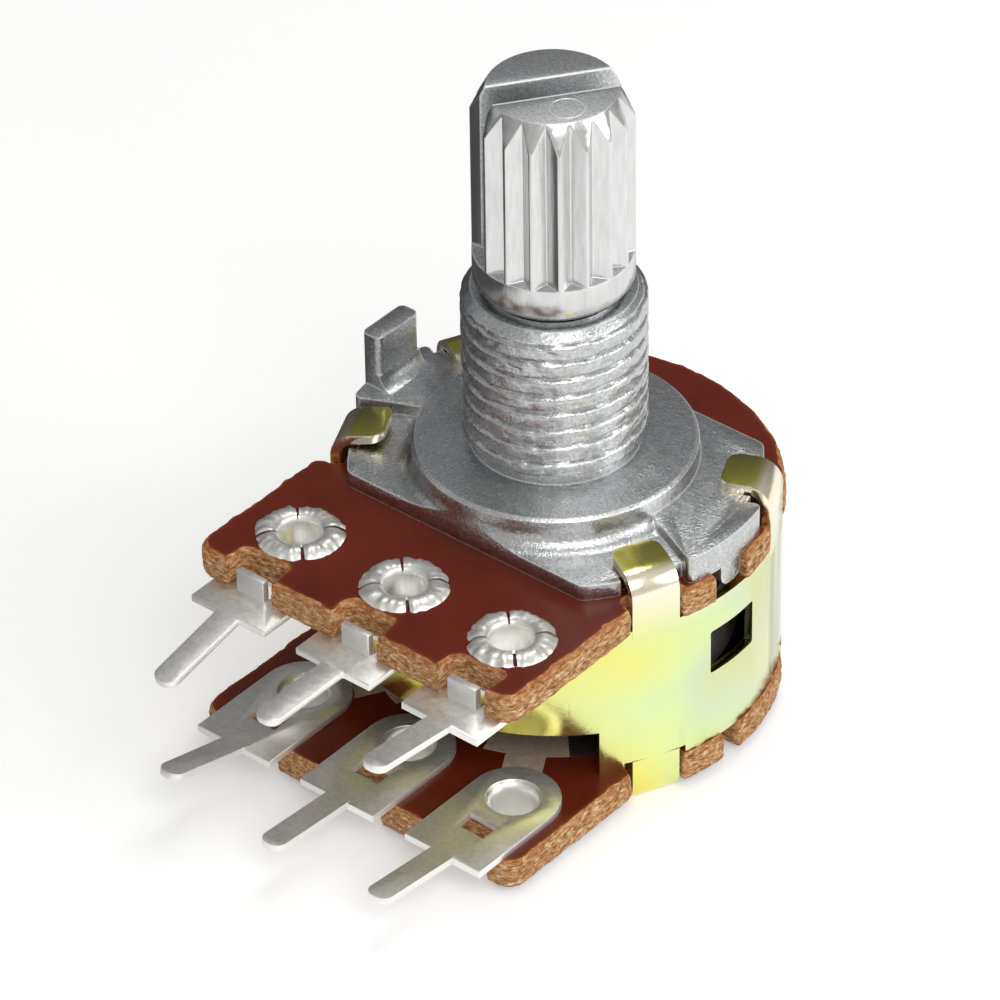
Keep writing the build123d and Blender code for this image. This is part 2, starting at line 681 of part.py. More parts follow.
def make_wiper(name, face_level, outward):
    """A stamped wiper spring: a ring on the rotor face and two sprung pairs of fingers."""
    base = Plane(
        origin=(0, 0, face_level), x_dir=(*polar(1, rotor_angle), 0), z_dir=(0, 0, outward)
    )
    track_middle = (track_inner_radius + track_outer_radius) / 2
    collector_middle = (collector_inner_radius + collector_outer_radius) / 2
    arm_reach = track_middle + (finger_spread + 0.5) * finger_width
    tip_height = rotor_gap - print_thickness - contact_gap
    with BuildPart() as wiper:
        with BuildSketch(base):
            Circle(wiper_base_outer_radius)
            with Locations((arm_reach / 2, -finger_length / 2)):
                Rectangle(arm_reach, 2 * finger_width)
            Circle(wiper_base_inner_radius, mode=Mode.SUBTRACT)
        extrude(amount=wiper_sheet)
        for middle in (collector_middle, track_middle):
            for offset_side in (-1, 1):
                radius = middle + offset_side * finger_spread * finger_width
                side_plane = Plane(origin=base.from_local_coords((radius, 0, 0)), x_dir=base.y_dir, z_dir=-base.x_dir)
                if outward < 0:
                    side_plane = Plane(origin=side_plane.origin, x_dir=base.y_dir, z_dir=base.x_dir)
                with BuildSketch(side_plane):
                    rise = side_plane.to_local_coords(base.from_local_coords((radius, 0, 1))).Y
                    Polygon(
                        (-finger_length / 2, 0),
                        (-finger_length / 2, rise * wiper_sheet),
                        (finger_length / 2 - 0.5, rise * tip_height),
                        (finger_length / 2 - 0.2, rise * tip_height),
                        (finger_length / 2 + 0.2, rise * (tip_height - 0.3)),
                        (finger_length / 2, rise * (tip_height - 0.3 - wiper_sheet)),
                        (finger_length / 2 - 0.35, rise * (tip_height - wiper_sheet)),
                        (-finger_length / 2 + 0.6, 0),
                        align=None,
                    )
                extrude(amount=finger_width / 2, both=True)
    save(wiper, name)


make_wiper("front_wiper", rotor_front_face, 1)
make_wiper("rear_wiper", rotor_rear_face, -1)
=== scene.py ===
import json
from math import atan2, cos, exp, hypot, pi, radians, sin

import bpy
from mathutils import Matrix, Vector, noise


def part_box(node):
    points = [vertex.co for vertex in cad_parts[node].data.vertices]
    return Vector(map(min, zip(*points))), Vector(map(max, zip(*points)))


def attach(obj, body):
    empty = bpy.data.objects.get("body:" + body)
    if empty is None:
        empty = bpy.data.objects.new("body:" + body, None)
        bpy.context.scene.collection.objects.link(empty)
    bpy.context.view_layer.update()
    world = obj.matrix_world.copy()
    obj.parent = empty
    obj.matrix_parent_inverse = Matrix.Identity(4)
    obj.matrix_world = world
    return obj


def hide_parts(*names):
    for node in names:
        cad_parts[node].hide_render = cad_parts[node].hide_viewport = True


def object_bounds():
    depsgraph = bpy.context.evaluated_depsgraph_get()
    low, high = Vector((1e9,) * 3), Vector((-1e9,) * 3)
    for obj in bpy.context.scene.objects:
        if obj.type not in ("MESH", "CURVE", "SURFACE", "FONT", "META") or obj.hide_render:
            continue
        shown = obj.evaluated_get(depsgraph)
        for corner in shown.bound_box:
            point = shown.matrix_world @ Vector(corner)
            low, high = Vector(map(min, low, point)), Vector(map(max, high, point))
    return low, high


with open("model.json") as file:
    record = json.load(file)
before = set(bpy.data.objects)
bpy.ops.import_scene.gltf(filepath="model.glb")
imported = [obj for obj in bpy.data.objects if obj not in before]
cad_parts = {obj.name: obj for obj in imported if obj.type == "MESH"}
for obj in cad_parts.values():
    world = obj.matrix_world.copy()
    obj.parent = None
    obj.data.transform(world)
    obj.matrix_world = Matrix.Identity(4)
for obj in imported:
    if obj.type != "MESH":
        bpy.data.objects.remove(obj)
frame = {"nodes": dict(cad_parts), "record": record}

# The looks of a dual-gang potentiometer, in metres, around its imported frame.
# +Z runs along the shaft, and the terminals point towards -Y.
MM = 0.001
PER_MM = 1 / MM
cad_box = [list(corner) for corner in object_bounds()]

# The camera of the photograph: its angles, its distance and where it aims past the origin
CAMERA_AZIMUTH = radians(40.206)
CAMERA_ELEVATION = radians(36.853)
CAMERA_ROLL = radians(-0.864)
CAMERA_DISTANCE = 266.033 * MM
CAMERA_AIM = (2.027 * MM, 2.434 * MM)
CAMERA_NEAR = CAMERA_DISTANCE / 50
LENS = 261.5
SENSOR = 36


# ---- Shader helpers ----


def set_sockets(inputs, values):
    """Sets constant inputs by name; an underscore stands for a space."""
    for name, value in values.items():
        inputs[name.replace("_", " ")].default_value = value


class Nodes:
    """Adds and links nodes in a tree, with short calls."""

    # The factor, the two colours and the result of a Mix node that mixes colours
    MIX_INPUTS = (0, 6, 7)
    MIX_RESULT = 2

    def __init__(self, tree):
        self.tree = tree

    def add(self, kind, values=None, **settings):
        """A new node with its settings, and constants for its inputs by socket name."""
        node = self.tree.nodes.new(kind)
        for name, value in settings.items():
            setattr(node, name, value)
        set_sockets(node.inputs, values or {})
        return node

    def link(self, source, target):
        self.tree.links.new(source, target)

    def put(self, value, socket):
        """Feeds an input from a socket, or sets its number, vector or colour."""
        if isinstance(value, bpy.types.NodeSocket):
            self.link(value, socket)
        elif socket.type == "RGBA":
            socket.default_value = (*value, 1)
        else:
            socket.default_value = value

    def feed(self, shader, **sources):
        """Links sources to the inputs of a shader by name."""
        for name, source in sources.items():
            self.link(source, shader[name.replace("_", " ")])

    def math(self, operation, first, second=None, clamp=False):
        """A Math node whose inputs are sockets or numbers."""
        node = self.add("ShaderNodeMath", operation=operation, use_clamp=clamp)
        for socket, value in zip(node.inputs, (first, second)):
            if value is not None:
                self.put(value, socket)
        return node.outputs[0]

    def dot(self, first, second):
        """How far one vector lies along another."""
        node = self.add("ShaderNodeVectorMath", operation="DOT_PRODUCT")
        self.put(first, node.inputs[0])
        self.put(second, node.inputs[1])
        return node.outputs["Value"]

    def axes(self, vector):
        """The X, Y and Z of a vector."""
        node = self.add("ShaderNodeSeparateXYZ")
        self.link(vector, node.inputs[0])
        return node.outputs

    def noise(self, point, scale, detail, roughness=0.5):
        """A cloudy value around 0.5."""
        node = self.add("ShaderNodeTexNoise", {"Detail": detail, "Roughness": roughness})
        self.link(point, node.inputs["Vector"])
        self.put(scale, node.inputs["Scale"])
        return node.outputs["Fac"]

    def ramp(self, factor, stops):
        """A colour ramp with (place, colour) stops."""
        node = self.add("ShaderNodeValToRGB")
        elements = node.color_ramp.elements
        while len(elements) < len(stops):
            elements.new(1)
        for element, (place, colour) in zip(elements, stops):
            element.position = place
            element.color = (*colour, 1)
        self.link(factor, node.inputs["Fac"])
        return node.outputs["Color"]

    def mix(self, factor, first, second):
        """A colour mix whose inputs are sockets or colours."""
        node = self.add("ShaderNodeMix", data_type="RGBA")
        for number, value in zip(self.MIX_INPUTS, (factor, first, second)):
            self.put(value, node.inputs[number])
        return node.outputs[self.MIX_RESULT]

    def spread(self, value, low, high, to_low=0.0, to_high=1.0):
        """Maps a value from one range to another, clamped."""
        limits = {"From Min": low, "From Max": high, "To Min": to_low, "To Max": to_high}
        node = self.add("ShaderNodeMapRange", limits)
        self.link(value, node.inputs["Value"])
        return node.outputs["Result"]

    def between(self, mask, at_none, at_full):
        """A number that goes from one value to another as a mask goes from 0 to 1."""
        return self.spread(mask, 0, 1, at_none, at_full)


def effect_group(name, inputs, outputs):
    """An empty shader node group with named sockets, and its nodes."""
    group = bpy.data.node_groups.new(name, "ShaderNodeTree")
    for label, value in inputs.items():
        socket = group.interface.new_socket(label, in_out="INPUT", socket_type="NodeSocketFloat")
        socket.default_value = value
    for label in outputs:
        group.interface.new_socket(label, in_out="OUTPUT", socket_type="NodeSocketFloat")
    nodes = Nodes(group)
    entry = nodes.add("NodeGroupInput")
    leave = nodes.add("NodeGroupOutput")
    return group, nodes, entry.outputs, leave.inputs


def millimetre_point(nodes, stretch=(1, 1, 1)):
    """The object's own coordinates in millimetres, stretched per axis."""
    place = nodes.add("ShaderNodeTexCoord")
    scaled = nodes.add("ShaderNodeMapping", {"Scale": tuple(PER_MM * s for s in stretch)})
    nodes.link(place.outputs["Object"], scaled.inputs["Vector"])
    return scaled.outputs["Vector"]


def make_grain_group():
    """Fine grain: a value from 0 to 1 at the given fineness, and sparse bright specks."""
    defaults = {"Fineness": 8.0, "Speck Share": 0.3}
    group, nodes, given, out = effect_group("grain", defaults, ["Grain", "Specks"])
    point = millimetre_point(nodes)
    cloud = nodes.noise(point, given["Fineness"], detail=3.0, roughness=0.6)
    nodes.link(nodes.spread(cloud, 0.3, 0.7), out["Grain"])
    cells = nodes.add("ShaderNodeTexVoronoi")
    nodes.link(point, cells.inputs["Vector"])
    nodes.link(given["Fineness"], cells.inputs["Scale"])
    shade = nodes.add("ShaderNodeSeparateColor")
    nodes.link(cells.outputs["Color"], shade.inputs["Color"])
    nodes.link(nodes.math("LESS_THAN", shade.outputs["Red"], given["Speck Share"]), out["Specks"])
    return group


def make_edge_group():
    """A mask that is 1 along outer edges, as wide as the given radius in metres."""
    defaults = {"Radius": 0.1 * MM, "Sharpness": 2.0}
    group, nodes, given, out = effect_group("edge highlight mask", defaults, ["Edge"])
    rounded = nodes.add("ShaderNodeBevel", samples=6)
    nodes.link(given["Radius"], rounded.inputs["Radius"])
    surface = nodes.add("ShaderNodeNewGeometry")
    alike = nodes.dot(rounded.outputs["Normal"], surface.outputs["Normal"])
    turned = nodes.math("SUBTRACT", 1.0, alike)
    nodes.link(nodes.math("MULTIPLY", turned, given["Sharpness"], clamp=True), out["Edge"])
    return group


GRAIN = make_grain_group()
EDGE = make_edge_group()


def group_node(nodes, group, **values):
    """Places a shared effect with its own values."""
    node = nodes.add("ShaderNodeGroup", node_tree=group)
    set_sockets(node.inputs, values)
    return node.outputs


def new_material(name, **constants):
    """A material with its constant values on the Principled node, and its nodes."""
    material = bpy.data.materials.new(name)
    material.use_nodes = True
    shader = material.node_tree.nodes["Principled BSDF"]
    set_sockets(shader.inputs, constants)
    return material, Nodes(material.node_tree), shader.inputs


def add_bump(nodes, shader, height, distance, strength):
    """Feeds a height into the Normal of the shader, at a distance in metres."""
    bump = nodes.add("ShaderNodeBump", {"Distance": distance, "Strength": strength})
    nodes.link(height, bump.inputs["Height"])
    nodes.feed(shader, Normal=bump.outputs["Normal"])


def levelness(nodes, normal="True Normal"):
    """1 where the surface lies level, 0 where it stands upright."""
    surface = nodes.add("ShaderNodeNewGeometry")
    return nodes.math("ABSOLUTE", nodes.axes(surface.outputs[normal])["Z"])


def facing_up(nodes):
    """A mask of the level faces."""
    return nodes.spread(levelness(nodes), 0.5, 0.8)


# ---- Finishes ----

# How metallic an edge stays where it is painted pale, partly as wear and partly as a highlight
PALE_EDGE_METALLIC = 0.30

# The screwdriver slot of the shaft, in millimetres about its own axis, with the half width and the
# lowest height of a painted highlight along its edges on the end face
SLOT_TURN = radians(54)
SLOT_HALF_WIDTH = 0.58
SLOT_GLINT = 0.66
SLOT_FLOOR = 8.3
SLOT_LIP_FROM = SLOT_FLOOR + 1

# The tint of the can by its place around the shaft: 0.25 is the terminals' side and 0.5 is +X. The
# silvery greens towards +X are partly a painted reflection of the bright side.
CAN_TINTS_AND_SHEEN = (
    (0.10, (0.80, 0.72, 0.22)),
    (0.29, (0.84, 0.73, 0.14)),
    (0.33, (0.84, 0.79, 0.21)),
    (0.37, (0.76, 0.82, 0.32)),
    (0.41, (0.70, 0.83, 0.42)),
    (0.45, (0.64, 0.75, 0.50)),
    (0.49, (0.68, 0.71, 0.36)),
    (0.575, (0.66, 0.69, 0.58)),
    (0.72, (0.80, 0.76, 0.36)),
)
# Heights in millimetres between which the tint shifts along the can, and by how much at each
CAN_FOOT_SHIFT = (-10.8, -6.4, -0.10, 0.0)
CAN_BROW_SHIFT = (-6.2, -4.0, 0.0, -0.06)
CAN_WANDER = 0.14
# Heights between which the can is painted pale towards the bends of its front tabs, a painted highlight
# on the bends
TAB_BEND_GLINT = (-3.6, -1.6)

# The cut edge of the laminate, from resin to bare paper fibre
CUT_TINTS = (
    (0.35, (0.11, 0.032, 0.010)),
    (0.46, (0.38, 0.165, 0.055)),
    (0.55, (0.60, 0.35, 0.16)),
    (0.67, (0.92, 0.80, 0.56)),
)


def zinc_material():
    """Cast zinc: grey grain with bright specks painted as glints of sparkle, patches of gloss, and pale
    edges that are partly wear and partly a painted highlight.
    """
    dark, pale = (0.44, 0.445, 0.45), (0.66, 0.665, 0.67)
    bright, worn = (0.86, 0.86, 0.87), (0.92, 0.92, 0.93)
    material, nodes, shader = new_material("zinc casting")
    grain = group_node(nodes, GRAIN, Fineness=9.0, Speck_Share=0.10)
    patches = group_node(nodes, GRAIN, Fineness=2.2)["Grain"]
    edge = group_node(nodes, EDGE, Radius=0.13 * MM, Sharpness=5.0)["Edge"]
    colour = nodes.mix(grain["Grain"], dark, pale)
    # bright specks: painted glints of sparkle
    colour = nodes.mix(nodes.math("MULTIPLY", grain["Specks"], 0.3), colour, bright)
    # pale edges: partly wear, partly a painted highlight
    nodes.feed(
        shader,
        Base_Color=nodes.mix(edge, colour, worn),
        Roughness=nodes.between(patches, 0.33, 0.22),
        Metallic=nodes.between(edge, 1.0, PALE_EDGE_METALLIC),
    )
    relief = nodes.math("ADD", nodes.math("MULTIPLY", patches, 0.9), grain["Grain"])
    add_bump(nodes, shader, relief, distance=0.010 * MM, strength=0.8)
    return material


def shaft_material():
    """Turned metal with faint streaks; the end and the screwdriver slot are rough and greyer, the slot
    darker still as painted shade in the recess; pale edges, partly wear, and a band along the slot's lip
    are painted highlights.
    """
    side_dark, side_pale = (0.54, 0.545, 0.54), (0.78, 0.785, 0.78)
    end_dark, end_pale = (0.50, 0.505, 0.51), (0.84, 0.845, 0.85)
    slot_shade_dark, slot_shade_pale = (0.40, 0.405, 0.41), (0.74, 0.745, 0.75)
    wear_and_glint_colour = (0.95, 0.95, 0.95)
    material, nodes, shader = new_material("shaft metal")
    point = millimetre_point(nodes)
    grain = group_node(nodes, GRAIN, Fineness=11.0, Speck_Share=0.25)["Grain"]
    streaks = nodes.noise(millimetre_point(nodes, stretch=(1, 1, 0.15)), scale=6.0, detail=3.0)
    height = nodes.axes(point)["Z"]
    level = facing_up(nodes)
    from_middle = nodes.math("ABSOLUTE", nodes.dot(point, (-sin(SLOT_TURN), cos(SLOT_TURN), 0)))
    # the slot: rough, and painted darker as shade in the recess
    in_slot = nodes.math("LESS_THAN", from_middle, SLOT_HALF_WIDTH)
    in_slot = nodes.math("MULTIPLY", in_slot, nodes.math("GREATER_THAN", height, SLOT_FLOOR))
    # lip: a painted highlight along the slot's edges on the end face
    lip = nodes.math("MULTIPLY", nodes.math("LESS_THAN", from_middle, SLOT_GLINT), level)
    lip = nodes.math("MULTIPLY", lip, nodes.math("GREATER_THAN", height, SLOT_LIP_FROM))
    edge = group_node(nodes, EDGE, Radius=0.10 * MM, Sharpness=9.0)["Edge"]
    # worn: pale edges, partly wear and partly a painted highlight, with the painted highlight of the lip
    worn = nodes.math("MAXIMUM", edge, lip)
    rough = nodes.math("MAXIMUM", level, in_slot)
    side = nodes.mix(streaks, side_dark, side_pale)
    colour = nodes.mix(level, side, nodes.mix(grain, end_dark, end_pale))
    # the slot painted darker than the end: painted shade
    colour = nodes.mix(in_slot, colour, nodes.mix(grain, slot_shade_dark, slot_shade_pale))
    nodes.feed(
        shader,
        Base_Color=nodes.mix(worn, colour, wear_and_glint_colour),
        Roughness=nodes.between(rough, 0.22, 0.40),
        Metallic=nodes.between(worn, 1.0, PALE_EDGE_METALLIC),
    )
    relief = nodes.mix(rough, streaks, grain)
    add_bump(nodes, shader, relief, distance=0.007 * MM, strength=0.8)
    return material


def chromate_material():
    """A passivated sheet whose tint drifts round the can, from yellow to a silvery green that is partly
    a painted reflection; level faces are painted darker as shade, and the tab bends and the edges pale
    as painted highlights.
    """
    bend_highlight_tint, level_shade_tint, edge_highlight_tint = (0.96, 0.86, 0.68), (0.50, 0.46, 0.11), (0.95, 0.88, 0.62)
    material, nodes, shader = new_material("chromated steel", Metallic=1.0)
    point = millimetre_point(nodes)
    place = nodes.axes(point)
    turn = nodes.spread(nodes.math("ARCTAN2", place["Y"], place["X"]), -pi, pi)
    drift = nodes.math("SUBTRACT", nodes.noise(point, scale=0.26, detail=1.0), 0.5)
    wander = nodes.math("MULTIPLY", drift, CAN_WANDER)
    foot = nodes.spread(place["Z"], *CAN_FOOT_SHIFT)
    brow = nodes.spread(place["Z"], *CAN_BROW_SHIFT)
    shifted = nodes.math("ADD", nodes.math("ADD", turn, wander), nodes.math("ADD", foot, brow))
    # pale towards the tab bends: a painted highlight
    wall = nodes.mix(nodes.spread(place["Z"], *TAB_BEND_GLINT), nodes.ramp(shifted, CAN_TINTS_AND_SHEEN), bend_highlight_tint)
    # level faces painted a darker olive: painted shade
    level = nodes.spread(levelness(nodes, "Normal"), 0.84, 0.97)
    # pale edges: a painted highlight
    edge = group_node(nodes, EDGE, Radius=0.08 * MM, Sharpness=2.5)["Edge"]
    grain = group_node(nodes, GRAIN, Fineness=6.0)["Grain"]
    nodes.feed(
        shader,
        Base_Color=nodes.mix(edge, nodes.mix(level, wall, level_shade_tint), edge_highlight_tint),
        Roughness=nodes.between(grain, 0.16, 0.24),
    )
    add_bump(nodes, shader, grain, distance=0.004 * MM, strength=0.5)
    return material


def laminate_material():
    """Resin-bonded paper: glossy red-brown faces, an orange glow at the rim and fibrous cuts."""
    face_dark, face_pale, glow = (0.080, 0.009, 0.005), (0.170, 0.022, 0.008), (0.52, 0.15, 0.03)
    rim_tint = (0.36, 0.10, 0.025)
    material, nodes, shader = new_material("wafer laminate", Specular_IOR_Level=0.24, IOR=1.5)
    clouds = nodes.noise(millimetre_point(nodes), scale=0.4, detail=4.0)
    layered = millimetre_point(nodes, stretch=(1, 1, 2.6))
    fibre = nodes.noise(layered, scale=3.4, detail=8.0, roughness=0.75)
    edge = group_node(nodes, EDGE, Radius=0.32 * MM, Sharpness=2.2)["Edge"]
    tilt = levelness(nodes)
    level = nodes.spread(tilt, 0.86, 0.97)
    rim = nodes.math("MULTIPLY", nodes.spread(tilt, 0.15, 0.6), 0.55)
    face = nodes.mix(edge, nodes.mix(clouds, face_dark, face_pale), glow)
    cut = nodes.mix(rim, nodes.ramp(fibre, CUT_TINTS), rim_tint)
    nodes.feed(
        shader,
        Base_Color=nodes.mix(level, cut, face),
        Roughness=nodes.between(level, 0.65, 0.26),
    )
    relief = nodes.math("MULTIPLY", fibre, nodes.math("SUBTRACT", 1.0, level))
    add_bump(nodes, shader, relief, distance=0.025 * MM, strength=0.8)
    return material


def tin_material():
    """Tinned brass: satin level faces, and upright faces painted bright as a highlight."""
    face_dark, face_pale, side = (0.66, 0.64, 0.60), (0.80, 0.78, 0.74), (0.92, 0.91, 0.88)
    material, nodes, shader = new_material("tinned terminal", Metallic=0.75)
    grain = group_node(nodes, GRAIN, Fineness=5.0)["Grain"]
    face = nodes.mix(grain, face_dark, face_pale)
    # upright faces painted near white: a painted highlight
    nodes.feed(
        shader,
        Base_Color=nodes.mix(facing_up(nodes), side, face),
        Roughness=nodes.between(grain, 0.30, 0.42),
    )
    add_bump(nodes, shader, grain, distance=0.0015 * MM, strength=0.5)
    return material


def plain_material(name, dark, pale, roughness, metallic=0.0):
    """A fine-grained finish between two close colours, a little glossier where it is pale."""
    material, nodes, shader = new_material(name, Metallic=metallic)
    grain = group_node(nodes, GRAIN, Fineness=6.0)["Grain"]
    nodes.feed(
        shader,
        Base_Color=nodes.mix(grain, dark, pale),
        Roughness=nodes.between(grain, roughness + 0.08, roughness - 0.05),
    )
    add_bump(nodes, shader, grain, distance=0.01 * MM, strength=0.5)
    return material


FINISHES = {
    "zinc_casting": zinc_material(),
    "shaft_metal": shaft_material(),
    "chromated_steel": chromate_material(),
    "wafer_laminate": laminate_material(),
    "tinned_terminal": tin_material(),
    "carbon_print": plain_material("carbon print", (0.012, 0.011, 0.011), (0.03, 0.028, 0.027), 0.6),
    "silver_print": plain_material("silver print", (0.40, 0.31, 0.23), (0.56, 0.46, 0.35), 0.5, 0.2),
    # The rotor moulding is painted a lighter grey than its dark plastic: painted light inside the can
    "rotor_moulding": plain_material("rotor moulding lightened", (0.20, 0.18, 0.18), (0.30, 0.27, 0.26), 0.45),
    "wiper_spring": plain_material("wiper spring", (0.55, 0.36, 0.14), (0.68, 0.48, 0.22), 0.25, 1.0),
    "clip_steel": plain_material("clip steel", (0.10, 0.10, 0.11), (0.16, 0.16, 0.17), 0.35, 1.0),
}


def dress_nodes():
    """Gives every node of the frame the finish of its slot in the record."""
    for part in frame["record"]["subparts"]:
        mesh = frame["nodes"][part["node"]].data
        mesh.materials.clear()
        mesh.materials.append(FINISHES[part["material_slot"]])


# ---- Mesh helpers ----


def clamp(value):
    return min(max(value, 0), 1)


def choose(piece):
    """Makes this the only selected object, and the active one."""
    bpy.ops.object.select_all(action="DESELECT")
    piece.select_set(True)
    bpy.context.view_layer.objects.active = piece


def start_edit(piece, mode="VERT"):
    """Sets the select mode of a piece, with nothing on it selected."""
    choose(piece)
    bpy.ops.object.mode_set(mode="EDIT")
    bpy.ops.mesh.select_mode(type=mode)
    bpy.ops.mesh.select_all(action="DESELECT")
    bpy.ops.object.mode_set(mode="OBJECT")


def select_where(piece, kind, test):
    """Selects the vertices, edges or faces that pass the test, and leaves the piece in edit mode."""
    bpy.ops.object.mode_set(mode="OBJECT")
    for group in (piece.data.polygons, piece.data.edges, piece.data.vertices):
        group.foreach_set("select", [False] * len(group))
    for item in getattr(piece.data, kind):
        item.select = test(item)
    bpy.ops.object.mode_set(mode="EDIT")


def edge_vector(piece, edge):
    """From one end of an edge to the other."""
    first, second = (piece.data.vertices[index].co for index in edge.vertices)
    return first - second


def face_outwards():
    """Recalculates the normals of the piece in edit mode, and leaves edit mode."""
    bpy.ops.mesh.select_all(action="SELECT")
    bpy.ops.mesh.normals_make_consistent(inside=False)
    bpy.ops.object.mode_set(mode="OBJECT")


def apply_modifier(piece, kind, **settings):
    """Adds a modifier and applies it."""
    choose(piece)
    modifier = piece.modifiers.new(kind.lower(), kind)
    for name, value in settings.items():
        setattr(modifier, name, value)
    bpy.ops.object.modifier_apply(modifier=modifier.name)


def shade_smooth(piece, degrees):
    """Smooths a piece but for its edges sharper than an angle."""
    choose(piece)
    bpy.ops.object.shade_smooth_by_angle(angle=radians(degrees))


def copy_node(node, name):
    """A copy of a CAD node with its loose triangles joined and its flat faces whole."""
    piece = bpy.data.objects.new(name, frame["nodes"][node].data.copy())
    bpy.context.collection.objects.link(piece)
    start_edit(piece)
    bpy.ops.object.mode_set(mode="EDIT")
    bpy.ops.mesh.select_all(action="SELECT")
    bpy.ops.mesh.remove_doubles(threshold=0.002 * MM)
    bpy.ops.mesh.dissolve_limited(angle_limit=radians(0.4))
    bpy.ops.object.mode_set(mode="OBJECT")
    return piece


def break_edges(piece, width):
    """Rounds every sharp edge of a piece a little."""
    sharp = radians(35)
    apply_modifier(
        piece,
        "BEVEL",
        width=width,
        segments=2,
        limit_method="ANGLE",
        angle_limit=sharp,
        miter_outer="MITER_ARC",
    )
    shade_smooth(piece, 32)


def finish_piece(piece, slot, body, *nodes):
    """Gives a finished piece its finish, its body and the nodes that it stands for."""
    piece.data.materials.clear()
    piece.data.materials.append(FINISHES[slot])
    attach(piece, body)
    if nodes:
        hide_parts(*nodes)


# ---- Pieces that stand for CAD nodes: sharp edges are broken, and rough surfaces are real shapes ----

# How wide the broken edges are
CAST_EDGE = 0.07 * MM
STAMPED_EDGE = 0.05 * MM
TURNED_EDGE = 0.045 * MM

# The bushing's thread: its radii, its pitch, and where it starts and ends above the panel face
THREAD_ROOT = 3.16 * MM
THREAD_CREST = 3.42 * MM
BUSHING_SKIN = (3.2 * MM, 3.5 * MM)
THREAD_PITCH = 0.745 * MM
THREAD_FIRST_CREST = 0.72 * MM
THREAD_AZIMUTH = radians(-50)
THREAD_ENDS = (0.30 * MM, 6.72 * MM)
THREAD_CHAMFER_START = 6.38 * MM
THREAD_RUN_OUT = (0.05 * MM, 0.25 * MM)
THREAD_SIDES = 176
THREAD_CUTS = 140
# A higher power makes the crests flatter
THREAD_FLATNESS = 6
# Random waviness of the crests: bumps per millimetre, and shares of the pitch
THREAD_WANDER = ((1.6, 0.04), (5, 0.02))
# Chips, and grain all over: bumps per millimetre, and depth
CHIP_FINENESS, CHIP_DEPTH, CHIP_RARITY = 2.6, 0.10 * MM, 0.1
GRAIN_FINENESS, GRAIN_DEPTH = 6, 0.022 * MM

# The board faces that carry petals: the front board's upper face and the rear board's lower one
BOARD_LEVELS = {1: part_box("front_wafer")[1][2], -1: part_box("rear_wafer")[0][2]}
# The cut edge of a board: its rows from face to face, and its longest step along the outline
BOARD_ROWS = 9
BOARD_EDGE_PASSES = 8
BOARD_EDGE_STEP = 0.16 * MM
# How far the lip and the heel of the edge are rounded in millimetres, and over which share of the depth
FRONT_LIP = 0.2
REAR_LIP = 0.12
LIP_DEPTH = 0.25
HEEL = 0.06
HEEL_DEPTH = 0.2
# The punched outline's raggedness, coarse and fine, in bumps per millimetre
RAGGED_COARSE = 1.1
RAGGED_FINE = 3
# Fibres of the cut: bumps per millimetre along the outline and through the layers, and depths in
# millimetres of the whole cut, its fibres and their fuzz
FIBRE_ALONG = 2.5
FIBRE_THROUGH = 7
CUT_DEPTH = 0.035
FIBRE_DEPTH = 0.05
FUZZ_DEPTH = 0.03

# The eyelets' petals: radius and height above the board in millimetres, from the bore to the rim
PETAL_ROWS = (
    (1.06, -1.49),
    (0.93, -1.40),
    (0.83, -1.22),
    (0.77, -0.90),
    (0.76, -0.10),
    (0.79, 0.08),
    (0.88, 0.19),
    (1.00, 0.25),
    (1.14, 0.27),
    (1.28, 0.26),
    (1.41, 0.22),
    (1.52, 0.15),
    (1.61, 0.08),
    (1.67, 0.01),
)
PETAL_SIDES = 128
PETAL_SHEET = 0.1 * MM
# Height that tells one row from the next while the petals are drawn
ROW_STEP = 0.01 * MM
QUARTER = pi / 2
# Radius from which the petals bend, over as long a way, and height from which they are slit
PETAL_BEND = 0.8
SLIT_FOOT = -0.05
# How far from a slit the petals curl, in millimetres, and how far they curl in and down
CURL_WIDTH = 0.16
CURL_IN = 0.05
CURL_DOWN = 0.10
# Waves and ripples round the petals: bumps on the way round, and how far out and up they go
WAVES, WAVE_OUT, WAVE_UP = 1.7, 0.07, 0.05
RIPPLES, RIPPLE_OUT, RIPPLE_UP = 6.5, 0.03, 0.085
# Half the width of a slit at its foot, and how much it widens to the rim
SLIT_WIDTH = 0.05
SLIT_WIDENING = 0.07

TERMINAL_PITCH = 5.0 * MM
EYELET_REACH = 8.6 * MM

# The ring that the turning tool leaves on the end of the shaft
END_MARK_PLACE = (1.30 * MM, -0.76 * MM)
END_MARK_RADIUS = 0.62 * MM
END_MARK_WIRE = 0.028 * MM
END_MARK_SINK = 0.01 * MM


def make_cast_plate():
    """The die-cast plate, with its bushing drawn in to the root of the thread."""
    plate = copy_node("bushing_plate", "cast_plate")
    start_edit(plate)
    inner, outer = BUSHING_SKIN
    select_where(
        plate,
        "vertices",
        lambda v: v.co.z > -0.01 * MM and inner < hypot(v.co.x, v.co.y) < outer,
    )
    shrink = THREAD_ROOT / THREAD_CREST
    bpy.ops.transform.resize(value=(shrink, shrink, 1), center_override=(0, 0, 0))
    bpy.ops.object.mode_set(mode="OBJECT")
    break_edges(plate, CAST_EDGE)
    finish_piece(plate, "zinc_casting", "housing", "bushing_plate")


